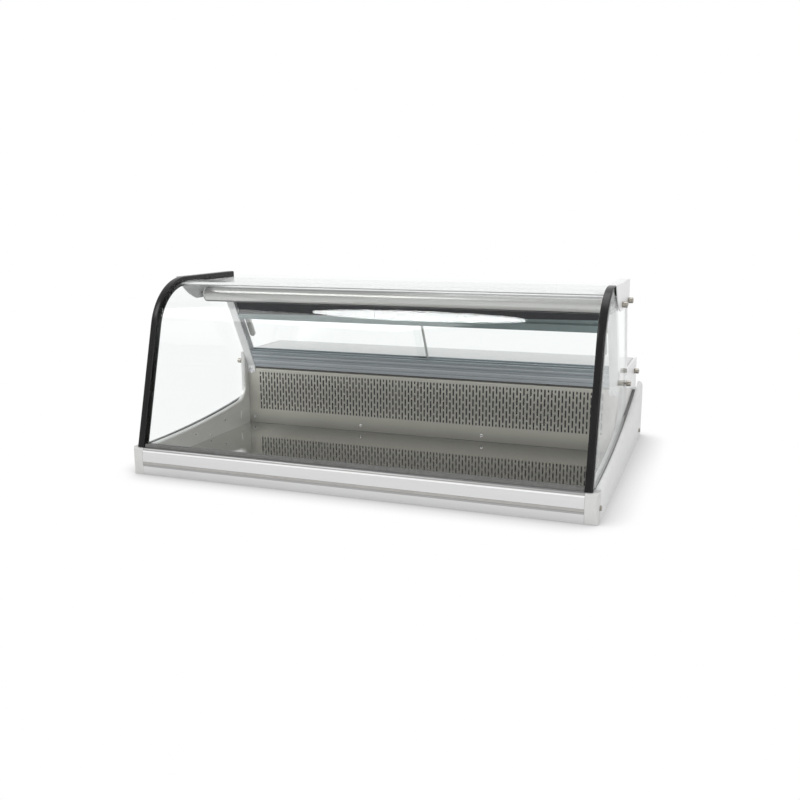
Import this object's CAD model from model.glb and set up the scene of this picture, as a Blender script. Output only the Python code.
import bpy
import bmesh
import math
from mathutils import Matrix, Vector


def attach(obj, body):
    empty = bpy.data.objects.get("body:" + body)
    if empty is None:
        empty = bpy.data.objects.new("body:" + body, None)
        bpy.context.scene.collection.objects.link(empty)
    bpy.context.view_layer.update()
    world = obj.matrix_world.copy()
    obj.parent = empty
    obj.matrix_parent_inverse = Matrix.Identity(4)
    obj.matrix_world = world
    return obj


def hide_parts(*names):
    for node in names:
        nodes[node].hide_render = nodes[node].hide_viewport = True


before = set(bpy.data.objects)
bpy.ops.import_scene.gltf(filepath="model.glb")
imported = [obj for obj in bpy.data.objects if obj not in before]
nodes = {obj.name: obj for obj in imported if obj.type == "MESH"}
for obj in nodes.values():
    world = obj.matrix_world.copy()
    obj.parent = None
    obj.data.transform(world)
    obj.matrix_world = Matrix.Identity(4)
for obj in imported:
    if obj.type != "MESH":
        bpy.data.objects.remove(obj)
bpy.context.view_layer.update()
mm = 0.001

# Sizes shared with the CAD source, in millimetres. Lengths that end in back run from the front face.
case_depth = 816.0
base_front_height = 66.0
clearance = 0.3

# Bent front glass, and the line that it and its seals follow
glass_height = 457.0
glass_lean = 15.5
glass_bend_radius = 143.0
glass_foot = 3.5
glass_thickness = 6.0
glass_edge_rounding = 0.6
glass_sill = 68.6
front_glass_back = 444.0
front_glass_inset = 8.0
front_glass_half = 523.2
bend_steps = 28
flat_strip = 4.0

# Print inside the top of the front glass
print_half = 519.5
print_back = 236.0
print_gap = 0.05
print_thickness = 0.4
print_rounding = 0.1
print_bend_share = 0.80
print_line_height = 438.9

# Seals along the bent glass, and the flange over the end of the right one
seal_inner_x = 520.0
seal_width = 17.0
seal_depth = 22.0
seal_rounding = 3.2
seal_foot = 66.3
seal_back = 446.0
flange_sheet = 2.0
flange_outer_x = 539.0
flange_gap = 0.2
flange_bevel = 0.4

# Side panes, on gaskets that follow the rise of the base
glass_inner_x = 531.2
gasket_lip = 2.0
rise_start = 60.0
rise_radius = 3030.0
side_glass_top_back = 438.0
side_glass_waist_back = 516.0
side_glass_waist_height = 216.0
edge_band = 1.4
edge_inset = 0.1
edge_side_inset = 0.2
edge_top_inset = 0.4

# Bolts, screws and rivets: distances from the middle, from the front face and from the ground, and
# for a bolt through the glass also how far its shank reaches in
glass_bolt_places = (
    (541.3, 313.0, 409.0, 21.0), (541.3, 422.0, 409.0, 21.0), (537.35, 500.0, 199.0, 17.0),
    (537.35, 685.0, 200.0, 17.0),
)
glass_bolt_head = 14.0
glass_bolt_length = 12.0
base_bolt_x = 550.0
base_bolt_places = ((18.0, 32.0), (756.0, 24.0))
base_bolt_head = 12.0
base_bolt_length = 4.0
bolt_shank_radius = 3.0
bolt_washer = 1.2
bolt_waist = 1.2
bolt_socket_radius = 3.2
bolt_socket_depth = 2.4
panel_screw_xs = (-503.8, -172.5, 172.5, 503.8)
panel_screw_place = (504.0, 36.0)
jamb_screw_x = 508.75
jamb_screw_place = (502.2, 173.5)
liner_inner_x = 520.1
rivet_places = ((367.9, 54.2), (224.8, 47.6), (295.0, 28.6))

# Tabs on the linings of the well
tab_back = 467.0
tab_height = 50.5
tab_thickness = 1.5
tab_bevel = 0.3
tab_half_width = 13.0
tab_half_height = 11.5
tab_corner = 2.5

# Angles between faces, in degrees, from which an edge is sharp
sharp_bar = 35.0
sharp_plate = 20.0
sharp_bevel = 30.0

# Floor and shade, in metres
floor_half = 6.0
floor_drop = 0.0005
shade_reach = 0.12

# Shade on the floor: how open to the light a place is where it is darkest and where the shade ends,
# and how bright its darkest place looks
openness_at_darkest = 0.35
openness_at_end = 0.88
darkest_shade = 0.42

# Strength of the light that the case gets from its surroundings, which look white at a strength of 1
light_from_surroundings = 0.5
lamp_target = (0, 0, 0.2)

# Camera, at the photograph's place: metres, degrees, and millimetres for its lens and sensor
camera_place = (0.773, -2.1101, 0.6005)
camera_heading = 20.59
camera_pitch = 78.38
camera_roll = -0.23
camera_lens = 40.06
camera_sensor = 36.0


def place(x, back, height):
    """Point in the scene's metres from millimetres: across, back from the front face, and up."""
    return Vector((x * mm, (back - case_depth / 2) * mm, height * mm))


camera_data = bpy.data.cameras.new("camera")
camera_data.lens = camera_lens
camera_data.sensor_width = camera_sensor
camera = bpy.data.objects.new("camera", camera_data)
bpy.context.scene.collection.objects.link(camera)
camera_turn = Matrix.Rotation(math.radians(camera_heading), 4, "Z")
camera_turn = camera_turn @ Matrix.Rotation(math.radians(camera_pitch), 4, "X")
camera_turn = camera_turn @ Matrix.Rotation(math.radians(camera_roll), 4, "Z")
camera.matrix_world = Matrix.Translation(camera_place) @ camera_turn
bpy.context.scene.camera = camera
bpy.context.scene.view_settings.view_transform = "Standard"


# Materials
noise_low = 0.3  # nearly all of a noise lies between these
noise_high = 0.7
fine_grain = 6
relief_depth = 0.0004
film_power = 5.0
film_straight_on = 0.04
smear_strength = 0.002
smear_depth = 0.0001
grain_in_bands = 0.35


def shader(name, **values):
    """New material with its Principled shader set from the values, given by socket name."""
    material = bpy.data.materials.new(name)
    material.use_nodes = True
    tree = material.node_tree
    principled = tree.nodes["Principled BSDF"]
    for key, value in values.items():
        principled.inputs[key.replace("_", " ")].default_value = value
    return material, tree, principled


def noise(tree, scale, stretch=(1, 1, 1), detail=4.0):
    """Noise over the object's own coordinates, stretched along an axis for brushed grain."""
    coordinates = tree.nodes.new("ShaderNodeTexCoord")
    mapping = tree.nodes.new("ShaderNodeMapping")
    mapping.inputs["Scale"].default_value = stretch
    texture = tree.nodes.new("ShaderNodeTexNoise")
    texture.inputs["Scale"].default_value = scale
    texture.inputs["Detail"].default_value = detail
    tree.links.new(coordinates.outputs["Object"], mapping.inputs["Vector"])
    tree.links.new(mapping.outputs["Vector"], texture.inputs["Vector"])
    return texture.outputs["Fac"]


def spread(tree, value, low, high):
    """Noise turned into the range from low to high."""
    node = tree.nodes.new("ShaderNodeMapRange")
    node.inputs["From Min"].default_value = noise_low
    node.inputs["From Max"].default_value = noise_high
    node.inputs["To Min"].default_value = low
    node.inputs["To Max"].default_value = high
    tree.links.new(value, node.inputs["Value"])
    return node.outputs["Result"]


def tint(tree, value, dark, light):
    """Colour that runs from dark to light with a noise."""
    ramp = tree.nodes.new("ShaderNodeValToRGB")
    ramp.color_ramp.elements[0].position = noise_low
    ramp.color_ramp.elements[0].color = (*dark, 1)
    ramp.color_ramp.elements[1].position = noise_high
    ramp.color_ramp.elements[1].color = (*light, 1)
    tree.links.new(value, ramp.inputs["Fac"])
    return ramp.outputs["Color"]


def surface(name, dark, light, rough, grain=60.0, stretch=(1, 1, 1), bump=0.05, edge=0.0008, **values):
    """Procedural finish: mottled colour, uneven gloss, fine relief and softened edges."""
    material, tree, principled = shader(name, **values)
    coarse = noise(tree, grain, stretch)
    fine = noise(tree, grain * fine_grain, stretch, 6.0)
    tree.links.new(tint(tree, coarse, dark, light), principled.inputs["Base Color"])
    tree.links.new(spread(tree, fine, rough[0], rough[1]), principled.inputs["Roughness"])
    relief = tree.nodes.new("ShaderNodeBump")
    relief.inputs["Strength"].default_value = bump
    relief.inputs["Distance"].default_value = relief_depth
    tree.links.new(fine, relief.inputs["Height"])
    if edge:
        rounded = tree.nodes.new("ShaderNodeBevel")
        rounded.samples = 4
        rounded.inputs["Radius"].default_value = edge
        tree.links.new(rounded.outputs["Normal"], relief.inputs["Normal"])
    tree.links.new(relief.outputs["Normal"], principled.inputs["Normal"])
    return material


def pane(name, colour, mirrored_share):
    """Clear glass that lets lamps through, with a mirror film that grows towards low angles."""
    material, tree, principled = shader(name, Metallic=1.0)
    clear = tree.nodes.new("ShaderNodeBsdfTransparent")
    clear.inputs["Color"].default_value = (*colour, 1)
    weight = tree.nodes.new("ShaderNodeLayerWeight")
    weight.inputs["Blend"].default_value = 0.5
    power = tree.nodes.new("ShaderNodeMath")
    power.operation = "POWER"
    power.inputs[1].default_value = film_power
    film = tree.nodes.new("ShaderNodeMapRange")
    film.inputs["To Min"].default_value = film_straight_on * mirrored_share
    film.inputs["To Max"].default_value = mirrored_share
    path = tree.nodes.new("ShaderNodeLightPath")
    lit = tree.nodes.new("ShaderNodeMath")
    lit.operation = "SUBTRACT"
    lit.use_clamp = True
    mix = tree.nodes.new("ShaderNodeMixShader")
    tree.links.new(weight.outputs["Facing"], power.inputs[0])
    tree.links.new(power.outputs["Value"], film.inputs["Value"])
    tree.links.new(film.outputs["Result"], lit.inputs[0])
    tree.links.new(path.outputs["Is Shadow Ray"], lit.inputs[1])
    tree.links.new(lit.outputs["Value"], mix.inputs["Fac"])
    tree.links.new(clear.outputs["BSDF"], mix.inputs[1])
    tree.links.new(principled.outputs["BSDF"], mix.inputs[2])
    tree.links.new(mix.outputs["Shader"], tree.nodes["Material Output"].inputs["Surface"])
    smear = noise(tree, 9.0, (1, 1, 0.5), 3.0)
    film_colour = tint(tree, smear, (0.93, 0.95, 0.95), (0.99, 1.0, 1.0))
    tree.links.new(film_colour, principled.inputs["Base Color"])
    tree.links.new(spread(tree, smear, 0.0, 0.004), principled.inputs["Roughness"])
    relief = tree.nodes.new("ShaderNodeBump")
    relief.inputs["Strength"].default_value = smear_strength
    relief.inputs["Distance"].default_value = smear_depth
    tree.links.new(smear, relief.inputs["Height"])
    tree.links.new(relief.outputs["Normal"], principled.inputs["Normal"])
    return material


def banded(material, direction, steps):
    """Puts bands of colour along a direction, under the grain. Steps: millimetres and a colour."""
    tree = material.node_tree
    coordinates = tree.nodes.new("ShaderNodeTexCoord")
    along = tree.nodes.new("ShaderNodeVectorMath")
    along.operation = "DOT_PRODUCT"
    along.inputs[1].default_value = direction
    level = tree.nodes.new("ShaderNodeMapRange")
    low = steps[0][0]
    high = steps[-1][0]
    level.inputs["From Min"].default_value = low * mm
    level.inputs["From Max"].default_value = high * mm
    ramp = tree.nodes.new("ShaderNodeValToRGB")
    points = ramp.color_ramp.elements
    while len(points) < len(steps):
        points.new(0.5)
    for point, (distance, colour) in zip(points, steps):
        point.position = (distance - low) / (high - low)
    for point, (distance, colour) in zip(points, steps):  # only once all are in their order
        point.color = (*colour, 1)
    mottle = tree.nodes.new("ShaderNodeMix")
    mottle.data_type = "RGBA"
    mottle.blend_type = "MULTIPLY"
    mottle.inputs["Factor"].default_value = grain_in_bands
    tree.links.new(coordinates.outputs["Object"], along.inputs[0])
    tree.links.new(along.outputs["Value"], level.inputs["Value"])
    tree.links.new(level.outputs["Result"], ramp.inputs["Fac"])
    base = tree.nodes["Principled BSDF"].inputs["Base Color"]
    grain = base.links[0].from_socket
    tree.links.new(ramp.outputs["Color"], mottle.inputs["A"])
    tree.links.new(grain, mottle.inputs["B"])
    tree.links.new(mottle.outputs["Result"], base)
    return material


def stripes(edges, colours, blend=0.3):
    """Steps for banded: plain bands between the edges, each with its colour."""
    steps = []
    for low, high, colour in zip(edges, edges[1:], colours):
        steps += [(low + blend, colour), (high - blend, colour)]
    return steps


upwards = (0, 0, 1)
backwards = (0, 1, 0)
to_the_right = (1, 0, 0)
anodised = banded(
    surface(
        "anodised_aluminium", (0.92, 0.92, 0.92), (1, 1, 1), (0.30, 0.38), 22.0, (0.1, 4, 4), 0.02,
        Metallic=0.4,
    ),
    upwards,
    stripes(
        (0.0, 20.5, 30.0, 55.5, 59.0, 63.6, 67.0),
        (
            (0.72, 0.72, 0.72), (0.40, 0.40, 0.40), (0.70, 0.70, 0.70), (0.95, 0.95, 0.95),
            (0.34, 0.34, 0.335), (0.14, 0.14, 0.14),
        ),
        0.4,
    ),
)
frame_aluminium = surface(
    "frame_aluminium", (0.82, 0.82, 0.83), (0.88, 0.88, 0.885), (0.28, 0.36), 22.0, (4, 0.3, 0.3), 0.02,
    Metallic=0.15,
)
floor_steel = banded(
    surface(
        "well_steel", (0.86, 0.84, 0.80), (1, 0.98, 0.95), (0.045, 0.08), 10.0, (0.3, 3, 3), 0.006,
        Metallic=1.0,
    ),
    to_the_right,
    (
        (-530.0, (0.62, 0.62, 0.61)), (-420.0, (0.54, 0.54, 0.53)), (-340.0, (0.33, 0.325, 0.31)),
        (-220.0, (0.30, 0.295, 0.28)), (530.0, (0.30, 0.295, 0.28)),
    ),
)
liner_steel = banded(
    surface(
        "liner_steel", (0.90, 0.90, 0.89), (1, 1, 0.985), (0.34, 0.44), 25.0, (3, 0.3, 3), 0.03,
        Metallic=0.6,
    ),
    backwards,
    ((-400.0, (0.86, 0.86, 0.85)), (-50.0, (0.76, 0.76, 0.75)), (180.0, (0.69, 0.69, 0.68))),
)
panel_steel = banded(
    surface(
        "air_panel_steel", (0.90, 0.89, 0.87), (1, 1, 1), (0.30, 0.40), 25.0, (0.3, 3, 3), 0.04,
        Metallic=0.5,
    ),
    upwards,
    (
        (20.0, (0.23, 0.225, 0.20)), (30.0, (0.28, 0.275, 0.245)), (46.0, (0.40, 0.39, 0.35)),
        (60.0, (0.47, 0.46, 0.41)), (90.0, (0.39, 0.38, 0.34)), (130.0, (0.38, 0.37, 0.33)),
        (155.0, (0.44, 0.43, 0.385)), (179.0, (0.53, 0.52, 0.47)),
    ),
)
dull_steel = surface(
    "galvanised_steel", (0.40, 0.41, 0.42), (0.60, 0.61, 0.62), (0.35, 0.55), 90.0, Metallic=0.85,
)
bright_steel = surface(
    "bright_steel", (0.52, 0.52, 0.53), (0.66, 0.66, 0.67), (0.12, 0.22), 160.0, Metallic=1.0,
)
bolt_steel = surface(
    "bolt_steel", (0.30, 0.28, 0.245), (0.42, 0.40, 0.36), (0.14, 0.24), 160.0, Metallic=1.0,
)
nose_metal = banded(
    surface(
        "canopy_finish", (0.9, 0.9, 0.9), (1, 1, 1), (0.18, 0.26), 30.0, (0.1, 5, 5), 0.02,
        Metallic=0.35,
    ),
    upwards,
    (
        (386.0, (0.015, 0.015, 0.018)), (390.5, (0.015, 0.015, 0.018)), (391.5, (0.76, 0.76, 0.74)),
        (398.0, (0.74, 0.74, 0.72)), (404.0, (0.52, 0.52, 0.50)), (412.0, (0.38, 0.38, 0.365)),
        (421.0, (0.28, 0.28, 0.27)), (421.6, (0.14, 0.14, 0.14)), (424.8, (0.14, 0.14, 0.14)),
        (425.2, (0.76, 0.76, 0.76)), (441.0, (0.80, 0.80, 0.80)),
    ),
)
across_upper_rail = (-0.017, 0, 1)
upper_rail_finish = banded(
    surface(
        "upper_rail", (0.9, 0.9, 0.9), (1, 1, 1), (0.36, 0.46), 30.0, (0.1, 5, 5), 0.03,
        Specular_IOR_Level=0.12,
    ),
    across_upper_rail,
    (
        (315.0, (0.23, 0.30, 0.30)), (350.5, (0.26, 0.335, 0.335)), (352.0, (0.011, 0.012, 0.017)),
        (395.0, (0.008, 0.009, 0.013)),
    ),
)
rail_lean = math.radians(28.0)
across_lower_rail = (0, -math.sin(rail_lean), math.cos(rail_lean))
lower_rail_finish = banded(
    surface("lower_rail", (0.88, 0.88, 0.88), (1, 1, 1), (0.20, 0.30), 35.0, (0.1, 5, 5), 0.05),
    across_lower_rail,
    stripes(
        (112.0, 116.5, 126.0, 128.0, 137.5, 139.5, 148.0, 150.0, 156.0, 158.0, 170.0),
        (
            (0.07, 0.068, 0.06), (0.50, 0.545, 0.585), (0.28, 0.315, 0.35), (0.50, 0.54, 0.58),
            (0.68, 0.71, 0.75), (0.40, 0.45, 0.485), (0.28, 0.32, 0.35), (0.44, 0.49, 0.53),
            (0.66, 0.70, 0.73), (0.36, 0.41, 0.44),
        ),
    ),
)
white_paint = surface(
    "white_paint", (0.78, 0.78, 0.78), (0.83, 0.83, 0.825), (0.30, 0.40), 40.0, bump=0.08,
)
print_finish = banded(
    surface("glass_print", (0.94, 0.94, 0.94), (1, 1, 1), (0.22, 0.30), 40.0, bump=0.02, edge=0.0),
    upwards,
    (
        (430.0, (0.10, 0.10, 0.10)), (print_line_height + 0.9, (0.12, 0.12, 0.12)),
        (print_line_height + 1.3, (0.80, 0.80, 0.795)), (glass_height, (0.82, 0.82, 0.83)),
    ),
)
canopy_end_paint = banded(
    surface("canopy_end_paint", (0.94, 0.94, 0.94), (1, 1, 1), (0.30, 0.40), 40.0, bump=0.08),
    upwards,
    stripes(
        (384.0, 399.0, 423.0, 431.5, 458.0),
        ((0.10, 0.10, 0.10), (0.83, 0.83, 0.83), (0.12, 0.12, 0.12), (0.82, 0.82, 0.82)),
    ),
)
housing_paint = surface(
    "housing_paint", (0.66, 0.665, 0.66), (0.72, 0.725, 0.72), (0.30, 0.40), 40.0, bump=0.08,
)
dark_lining = surface(
    "dark_lining", (0.006, 0.008, 0.009), (0.016, 0.020, 0.022), (0.40, 0.60), 60.0, bump=0.1,
)
cap_plastic = surface(
    "moulded_cap", (0.62, 0.62, 0.61), (0.67, 0.67, 0.66), (0.34, 0.46), 70.0, bump=0.12,
)
side_paint = surface(
    "side_panel_paint", (0.76, 0.76, 0.765), (0.81, 0.81, 0.815), (0.30, 0.42), 50.0, bump=0.10,
    edge=0.0,
)
stripe_plastic = surface(
    "stripe_insert", (0.40, 0.39, 0.375), (0.45, 0.44, 0.425), (0.45, 0.60), 80.0,
)
grey_plastic = surface(
    "grey_moulding", (0.36, 0.37, 0.38), (0.44, 0.45, 0.46), (0.35, 0.50), 110.0, bump=0.15,
)
bead_plastic = surface(
    "glass_bead", (0.135, 0.135, 0.13), (0.175, 0.175, 0.17), (0.35, 0.50), 110.0, bump=0.15,
    Specular_IOR_Level=0.25,
)
handle_plastic = surface(
    "handle_moulding", (0.56, 0.555, 0.53), (0.64, 0.635, 0.61), (0.30, 0.42), 110.0, bump=0.1,
)
black_plastic = surface(
    "black_moulding", (0.018, 0.018, 0.019), (0.035, 0.035, 0.036), (0.30, 0.48), 150.0, bump=0.2,
)
opal = surface(
    "opal_plastic", (0.52, 0.52, 0.51), (0.58, 0.58, 0.57), (0.25, 0.35), 60.0, bump=0.03,
)
edge_plastic = surface(
    "pale_edge", (0.60, 0.61, 0.60), (0.68, 0.69, 0.68), (0.20, 0.30), 60.0, bump=0.03,
)
foam = surface("foam", (0.62, 0.55, 0.38), (0.74, 0.68, 0.50), (0.80, 0.95), 220.0, bump=0.5)
copper = surface(
    "copper_tube", (0.08, 0.048, 0.032), (0.13, 0.082, 0.056), (0.35, 0.50), 60.0, Metallic=0.8,
)
rubber = surface(
    "black_rubber", (0.004, 0.004, 0.004), (0.009, 0.009, 0.009), (0.20, 0.28), 60.0, (1, 1, 0.2), 0.06,
    edge=0.0, Specular_IOR_Level=0.22,
)
grey_rubber = surface(
    "grey_rubber", (0.15, 0.15, 0.15), (0.19, 0.19, 0.19), (0.35, 0.45), 60.0, bump=0.08, edge=0.0,
)
clear_glass = pane("clear_glass", (0.995, 0.999, 0.998), 0.45)
side_glass = pane("side_glass", (0.993, 0.999, 0.997), 0.6)
door_glass = pane("door_glass", (0.985, 0.995, 0.992), 0.5)
tube_glass = surface(
    "lamp_tube_glass", (0.86, 0.87, 0.88), (0.92, 0.93, 0.93), (0.10, 0.20), 60.0, bump=0.0,
)

# Finish of each node that comes straight from the frame, also of those that pieces stand for below
finishes = {
    anodised: ("front_profile",),
    frame_aluminium: (
        "canopy_side_plate_left", "canopy_side_plate_right", "door_jamb_left", "door_jamb_right",
        "housing_end_plate_left", "housing_end_plate_right",
    ),
    cap_plastic: ("corner_cap_left", "corner_cap_right"),
    side_paint: ("side_panel_left", "side_panel_right"),
    stripe_plastic: ("front_strip_insert",),
    bead_plastic: ("front_glass_bead",),
    handle_plastic: ("door_left_handle", "door_right_pull"),
    grey_plastic: ("thermostat_button_set", "thermostat_button_down", "thermostat_button_up"),
    dull_steel: ("bottom_pan", "drip_tray", "evaporator_fins", "rear_cover"),
    dark_lining: ("fan_shroud",),
    foam: ("base_insulation", "rear_insulation"),
    floor_steel: ("display_floor",),
    liner_steel: ("side_liner_left", "side_liner_right"),
    panel_steel: ("perforated_panel",),
    rubber: ("glass_gasket_left",),
    grey_rubber: ("glass_gasket_right",),
    white_paint: ("lamp_holders",),
    canopy_end_paint: ("canopy_end_cap_left", "canopy_end_cap_right"),
    housing_paint: ("housing_cover",),
    nose_metal: ("canopy_profile",),
    upper_rail_finish: ("upper_door_rail",),
    tube_glass: ("lamp_tube",),
    opal: ("lamp_diffuser",),
    edge_plastic: ("door_left_edge_strip",),
    lower_rail_finish: ("lower_door_rail",),
    door_glass: ("door_left_glass", "door_right_glass"),
    bright_steel: ("panel_screws", "glass_bolts", "base_bolts"),
    copper: ("evaporator_tubes",),
    black_plastic: (
        "fan_frames", "fan_rotor_left", "fan_rotor_middle", "fan_rotor_right", "thermostat",
        "light_switch_body", "light_switch_rocker", "cable_gland",
    ),
}
for material, names in finishes.items():
    for name in names:
        nodes[name].data.materials.clear()
        nodes[name].data.materials.append(material)


# Pieces
def piece(name, mesh, material, replaced, sharp_from=sharp_bar):
    """Object from a mesh, smooth between sharp edges, that rides on the case and stands for nodes."""
    mesh.materials.append(material)
    mesh.polygons.foreach_set("use_smooth", [True] * len(mesh.polygons))
    mesh.set_sharp_from_angle(angle=math.radians(sharp_from))
    thing = bpy.data.objects.new(name, mesh)
    bpy.context.scene.collection.objects.link(thing)
    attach(thing, "case")
    if replaced:
        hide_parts(*replaced)


def rise(back):
    """Height of the base's side at a distance back: level at first, then an arc upwards."""
    run = max(0.0, back - rise_start)
    return base_front_height + rise_radius - math.sqrt(rise_radius ** 2 - run ** 2)


def glass_line(inset, foot_height, top_back, share=0.0):
    """Points along the bent front glass, moved inwards, from its foot or from a share of its bend."""
    lean = math.radians(glass_lean)
    radius = glass_bend_radius - inset
    centre_height = glass_height - glass_bend_radius
    run = (centre_height - base_front_height) * math.sin(lean) + glass_bend_radius
    centre_back = glass_foot + run / math.cos(lean)
    points = []
    for step in range(bend_steps + 1):
        turned_by = share + (1 - share) * step / bend_steps
        angle = math.pi - lean + (lean - math.pi / 2) * turned_by
        points.append((
            centre_back + radius * math.cos(angle), centre_height + radius * math.sin(angle)
        ))
    if share:
        return [*points, (top_back, centre_height + radius)]
    start = points[0]
    foot = (start[0] - (start[1] - foot_height) * math.tan(lean), foot_height)
    low = (start[0] - math.tan(lean) * flat_strip, start[1] - flat_strip)
    return [foot, low, *points, (points[-1][0] + flat_strip, points[-1][1]), (top_back, points[-1][1])]


def bar(name, section, foot_height, top_back, material, replaced, share=0.0):
    """Bar swept along the glass line. The section's points give x and how far they lie inwards."""
    lines = [glass_line(inset, foot_height, top_back, share) for x, inset in section]
    steps = len(lines[0])
    verts = [
        place(x, *lines[index][step])
        for step in range(steps) for index, (x, inset) in enumerate(section)
    ]
    count = len(section)
    faces = []
    for step in range(steps - 1):
        for index in range(count):
            after = (index + 1) % count
            low = step * count
            faces.append((low + index, low + after, low + count + after, low + count + index))
    faces.append(tuple(range(count)))
    faces.append(tuple((steps - 1) * count + index for index in reversed(range(count))))
    mesh = bpy.data.meshes.new(name)
    mesh.from_pydata(verts, [], faces)
    piece(name, finished(mesh), material, replaced)


def finished(mesh, bevel=0.0):
    """Mesh with its normals turned outwards and, where asked, its sharp edges bevelled."""
    work = bmesh.new()
    work.from_mesh(mesh)
    bmesh.ops.recalc_face_normals(work, faces=work.faces)
    if bevel:
        sharp = [edge for edge in work.edges if edge.calc_face_angle(0) > math.radians(sharp_bevel)]
        bmesh.ops.bevel(
            work, geom=sharp, offset=bevel * mm, segments=2, profile=0.7, affect="EDGES",
            clamp_overlap=True,
        )
    work.to_mesh(mesh)
    work.free()
    return mesh


def rounded_section(low_x, high_x, low, high, radius, steps=4):
    """Rounded rectangle across a bar, as a closed list of x and inset."""
    corners = [
        (high_x - radius, low + radius, -90), (high_x - radius, high - radius, 0),
        (low_x + radius, high - radius, 90), (low_x + radius, low + radius, 180),
    ]
    points = []
    for x, inset, start in corners:
        for step in range(steps + 1):
            angle = math.radians(start + 90 * step / steps)
            points.append((x + radius * math.cos(angle), inset + radius * math.sin(angle)))
    return points


def mirrored(section):
    """Section of the left-hand bar from that of the right-hand one."""
    return [(-x, inset) for x, inset in section]


seal_outer_x = seal_inner_x + seal_width
seal_section = rounded_section(seal_inner_x, seal_outer_x, 0, seal_depth, seal_rounding)
bend_back = glass_line(0, seal_foot, seal_back)[-2][0] + flat_strip
for side_name, section, end in (
    ("right", seal_section, bend_back), ("left", mirrored(seal_section), seal_back),
):
    bar(
        f"seal_bar_{side_name}", section, seal_foot, end, rubber, [f"corner_seal_{side_name}"],
    )

glass_section = rounded_section(
    -front_glass_half, front_glass_half, front_glass_inset, front_glass_inset + glass_thickness,
    glass_edge_rounding, 1,
)
bar(
    "bent_front_glass", glass_section, glass_sill, front_glass_back, clear_glass, ["front_glass"],
)
print_inset = front_glass_inset + glass_thickness + print_gap
print_section = rounded_section(
    -print_half, print_half, print_inset, print_inset + print_thickness, print_rounding, 1
)
bar(
    "glass_top_print", print_section, 0, print_back, print_finish, [],
    share=print_bend_share,
)


def plate(name, outline, low_x, high_x, bevel, material, replaced):
    """Flat plate across X with bevelled edges, from an outline of distance back and height."""
    count = len(outline)
    verts = [place(low_x, *point) for point in outline] + [place(high_x, *point) for point in outline]
    faces = [tuple(range(count)), tuple(reversed(range(count, 2 * count)))]
    for index in range(count):
        after = (index + 1) % count
        faces.append((index, after, count + after, count + index))
    mesh = bpy.data.meshes.new(name)
    mesh.from_pydata(verts, [], faces)
    piece(name, finished(mesh, bevel), material, replaced, sharp_plate)


run_back = bend_back + flange_gap
flange_foot = glass_height - flange_sheet
for name, low, high, material, slot in (
    ("seal_run_right", glass_height - seal_depth, flange_foot - flange_gap, rubber, "black_rubber"),
    ("plate_flange_right", flange_foot, glass_height, frame_aluminium, "white_enamel"),
):
    run_outline = [(run_back, low), (seal_back, low), (seal_back, high), (run_back, high)]
    plate(name, run_outline, seal_inner_x, flange_outer_x, flange_bevel, material, [])

sill = gasket_lip + clearance
side_outline = glass_line(front_glass_inset, base_front_height + sill, side_glass_top_back)
side_outline.append((side_glass_waist_back, side_glass_waist_height))
for step in range(bend_steps + 1):
    back = side_glass_waist_back + (rise_start - side_glass_waist_back) * step / bend_steps
    side_outline.append((back, rise(back) + sill))
edge_top = glass_height - front_glass_inset - edge_top_inset
edge_waist_back = side_glass_waist_back - edge_inset
rear_edge = [
    (side_glass_top_back - edge_band, edge_top), (side_glass_top_back - edge_inset, edge_top),
    (edge_waist_back, side_glass_waist_height), (edge_waist_back - edge_band, side_glass_waist_height),
]
glass_outer_x = glass_inner_x + glass_thickness
sides = (("right", 1), ("left", -1))
for side_name, sign in sides:
    plate(
        f"side_pane_{side_name}", side_outline, sign * glass_inner_x, sign * glass_outer_x,
        glass_edge_rounding, side_glass, [f"side_glass_{side_name}"],
    )
    plate(
        f"side_pane_edge_{side_name}", rear_edge, sign * (glass_inner_x + edge_side_inset),
        sign * (glass_outer_x - edge_side_inset), edge_inset, edge_plastic, [],
    )


def turned(work, points, centre, along, steps=20):
    """Adds a turned form to a bmesh: points of length and radius, from a centre along a direction."""
    facing = along.to_track_quat("Z", "Y").to_matrix()
    rings = []
    for length, radius in points:
        ring = []
        for step in range(steps):
            angle = 2 * math.pi * step / steps
            local = Vector((radius * math.cos(angle), radius * math.sin(angle), length)) * mm
            ring.append(work.verts.new(centre + facing @ local))
        rings.append(ring)
    for low, high in zip(rings, rings[1:]):
        for step in range(steps):
            after = (step + 1) % steps
            work.faces.new((low[step], low[after], high[after], high[step]))
    work.faces.new(list(reversed(rings[0])))
    work.faces.new(rings[-1])


def turned_set(name, forms, material, replaced):
    """One piece made of several turned forms, each with its points, its centre and its direction."""
    work = bmesh.new()
    for points, centre, along in forms:
        turned(work, points, centre, along)
    mesh = bpy.data.meshes.new(name)
    work.to_mesh(mesh)
    work.free()
    piece(name, finished(mesh), material, replaced)


def bolt_points(head, length, reach):
    """Points of length and radius: shank, washer, waisted head with a bevel, and a round socket."""
    rim = head / 2
    waist = rim - bolt_waist
    bottom = length - bolt_socket_depth
    return [
        (-reach, bolt_shank_radius), (0.0, bolt_shank_radius), (0.05, rim), (bolt_washer, rim),
        (bolt_washer + 0.05, waist), (bolt_washer + 1.0, waist), (bolt_washer + 1.1, rim - 0.2),
        (length - 0.9, rim - 0.2), (length, rim - 1.1), (length, bolt_socket_radius),
        (bottom, bolt_socket_radius), (bottom, 0.4),
    ]


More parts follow.
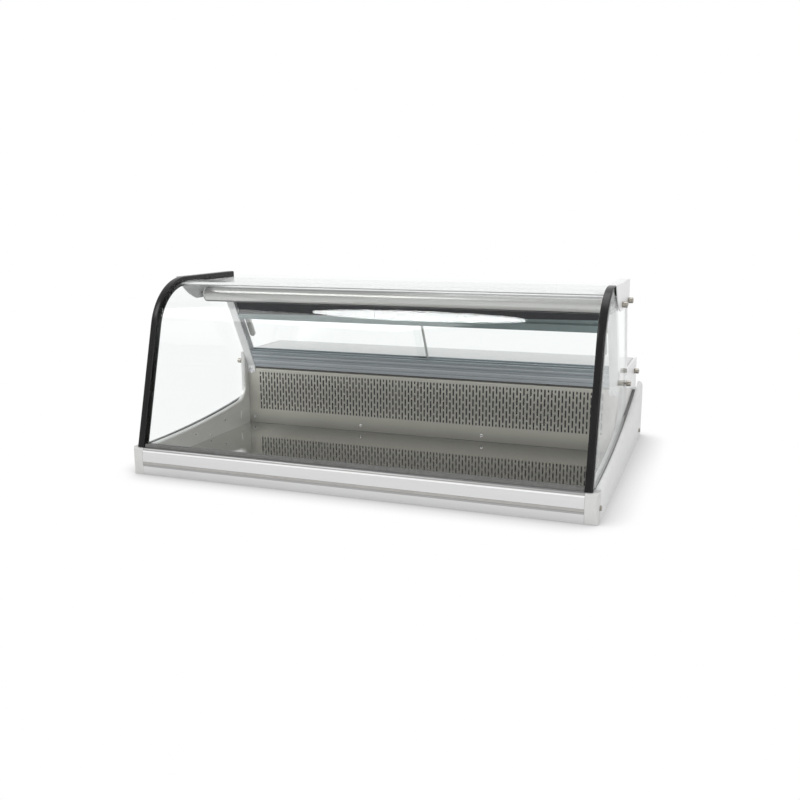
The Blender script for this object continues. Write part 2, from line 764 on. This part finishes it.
glass_bolt_forms = []
base_bolt_forms = []
rivet_forms = []
rivet_points = [(0.0, 3.4), (0.5, 3.3), (1.0, 2.5), (1.3, 1.2), (1.35, 0.2)]
for sign in (1, -1):
    outwards = Vector((sign, 0, 0))
    for x, back, height, reach in glass_bolt_places:
        points = bolt_points(glass_bolt_head, glass_bolt_length, reach)
        glass_bolt_forms.append((points, place(sign * x, back, height), outwards))
    for back, height in base_bolt_places:
        points = bolt_points(base_bolt_head, base_bolt_length, 0.0)[1:]
        base_bolt_forms.append((points, place(sign * base_bolt_x, back, height), outwards))
    for back, height in rivet_places:
        rivet_forms.append((rivet_points, place(sign * liner_inner_x, back, height), -outwards))
turned_set("through_glass_bolts", glass_bolt_forms, bolt_steel, ["glass_bolts"])
turned_set("base_bolt_heads", base_bolt_forms, bolt_steel, ["base_bolts"])

to_customer = Vector((0, -1, 0))
panel_screw_points = [
    (0, 3.5), (0.5, 3.4), (0.9, 2.8), (1.15, 1.6), (1.2, 1.2), (0.6, 1.1), (0.6, 0.2)
]
jamb_screw_points = [(0, 8.5), (0.7, 8.5), (1.2, 7.9), (1.2, 4.6), (0.5, 4.2), (0.5, 0.2)]
screw_forms = [
    (panel_screw_points, place(x, *panel_screw_place), to_customer) for x in panel_screw_xs
]
screw_forms += [
    (jamb_screw_points, place(x, *jamb_screw_place), to_customer) for x in (-jamb_screw_x, jamb_screw_x)
]
turned_set("panel_screw_heads", screw_forms, bright_steel, ["panel_screws"])
turned_set("liner_rivets", rivet_forms, bright_steel, [])

tab_flat = tab_half_width - tab_corner
tab_upright = tab_half_height - tab_corner
tab_outline = [
    (tab_back + across, tab_height + up) for across, up in (
        (-tab_half_width, -tab_upright), (-tab_flat, -tab_half_height), (tab_flat, -tab_half_height),
        (tab_half_width, -tab_upright), (tab_half_width, tab_upright), (tab_flat, tab_half_height),
        (-tab_flat, tab_half_height), (-tab_half_width, tab_upright),
    )
]
for side_name, sign in sides:
    plate(
        f"liner_tab_{side_name}", tab_outline, sign * (liner_inner_x - tab_thickness),
        sign * liner_inner_x, tab_bevel, liner_steel, [],
    )


# Floor, surroundings and light
floor_mesh = bpy.data.meshes.new("floor")
floor_corners = [
    (x * floor_half, y * floor_half, -floor_drop) for x, y in ((-1, -1), (1, -1), (1, 1), (-1, 1))
]
floor_mesh.from_pydata(floor_corners, [], [(0, 1, 2, 3)])
floor = bpy.data.objects.new("floor", floor_mesh)
bpy.context.scene.collection.objects.link(floor)
floor_material, floor_tree, floor_shader = shader(
    "floor", Base_Color=(0.85, 0.85, 0.85, 1), Roughness=0.7
)
floor_mesh.materials.append(floor_material)


def seen_plainly(tree):
    """1 for what the camera sees directly, in a reflection or through glass, and 0 for other light."""
    path = tree.nodes.new("ShaderNodeLightPath")
    value = path.outputs["Is Camera Ray"]
    for name in ("Is Glossy Ray", "Is Transmission Ray"):
        either = tree.nodes.new("ShaderNodeMath")
        either.operation = "MAXIMUM"
        tree.links.new(value, either.inputs[0])
        tree.links.new(path.outputs[name], either.inputs[1])
        value = either.outputs["Value"]
    straight = tree.nodes.new("ShaderNodeMath")
    straight.operation = "SUBTRACT"
    straight.use_clamp = True
    tree.links.new(value, straight.inputs[0])
    tree.links.new(path.outputs["Diffuse Depth"], straight.inputs[1])
    return straight.outputs["Value"]


# The floor looks white, and grey where the case stands over it, so that it keeps a shadow
shade = floor_tree.nodes.new("ShaderNodeAmbientOcclusion")
shade.samples = 24
shade.inputs["Distance"].default_value = shade_reach
shade_level = floor_tree.nodes.new("ShaderNodeMapRange")
shade_level.inputs["From Min"].default_value = openness_at_darkest
shade_level.inputs["From Max"].default_value = openness_at_end
shade_level.inputs["To Min"].default_value = darkest_shade
glow = floor_tree.nodes.new("ShaderNodeEmission")
floor_mix = floor_tree.nodes.new("ShaderNodeMixShader")
floor_tree.links.new(shade.outputs["AO"], shade_level.inputs["Value"])
floor_tree.links.new(shade_level.outputs["Result"], glow.inputs["Strength"])
floor_tree.links.new(seen_plainly(floor_tree), floor_mix.inputs["Fac"])
floor_tree.links.new(floor_shader.outputs["BSDF"], floor_mix.inputs[1])
floor_tree.links.new(glow.outputs["Emission"], floor_mix.inputs[2])
floor_output = floor_tree.nodes["Material Output"]
floor_tree.links.new(floor_mix.outputs["Shader"], floor_output.inputs["Surface"])

# The surroundings look white, and light the case less strongly than they look
world = bpy.data.worlds.new("world")
bpy.context.scene.world = world
world.use_nodes = True
background = world.node_tree.nodes["Background"]
background.inputs["Color"].default_value = (1, 1, 1, 1)
level = world.node_tree.nodes.new("ShaderNodeMapRange")
level.inputs["To Min"].default_value = light_from_surroundings
level.inputs["To Max"].default_value = 1.0
world.node_tree.links.new(seen_plainly(world.node_tree), level.inputs["Value"])
world.node_tree.links.new(level.outputs["Result"], background.inputs["Strength"])


def lamp(name, where, target, size, power, shape="RECTANGLE", along=None):
    """Area lamp that faces its target. Its long side lies level, or near to a direction."""
    data = bpy.data.lights.new(name, "AREA")
    data.shape = shape
    data.size = size[0]
    data.size_y = size[1]
    data.energy = power
    thing = bpy.data.objects.new(name, data)
    bpy.context.scene.collection.objects.link(thing)
    away = (Vector(where) - Vector(target)).normalized()
    up = away.cross(Vector(along)) if along else Vector((0, 0, 1))
    across = up.cross(away).normalized()
    turn = Matrix((across, away.cross(across), away)).transposed()
    thing.matrix_world = Matrix.Translation(where) @ turn.to_4x4()
    return thing


lamp("key", (-1.6, -2.2, 2.4), lamp_target, (1.8, 1.2), 34)
shine = lamp(  # only for the bright reflection in the bend of the front glass
    "shine", (-0.65, -1.304, 2.404), (0.09, -0.3, 0.39), (1.04, 0.85), 60, "ELLIPSE",
    (0.98, -0.2, 0.02),
)
lit_by_shine = bpy.data.collections.new("lit_by_shine")
lit_by_shine.objects.link(bpy.data.objects["bent_front_glass"])
shine.light_linking.receiver_collection = lit_by_shine
lamp("fill", (1.9, -2.1, 1.3), lamp_target, (1.3, 1.3), 18)
lamp("top", (0.2, 0.6, 2.6), lamp_target, (2.2, 1.4), 20)
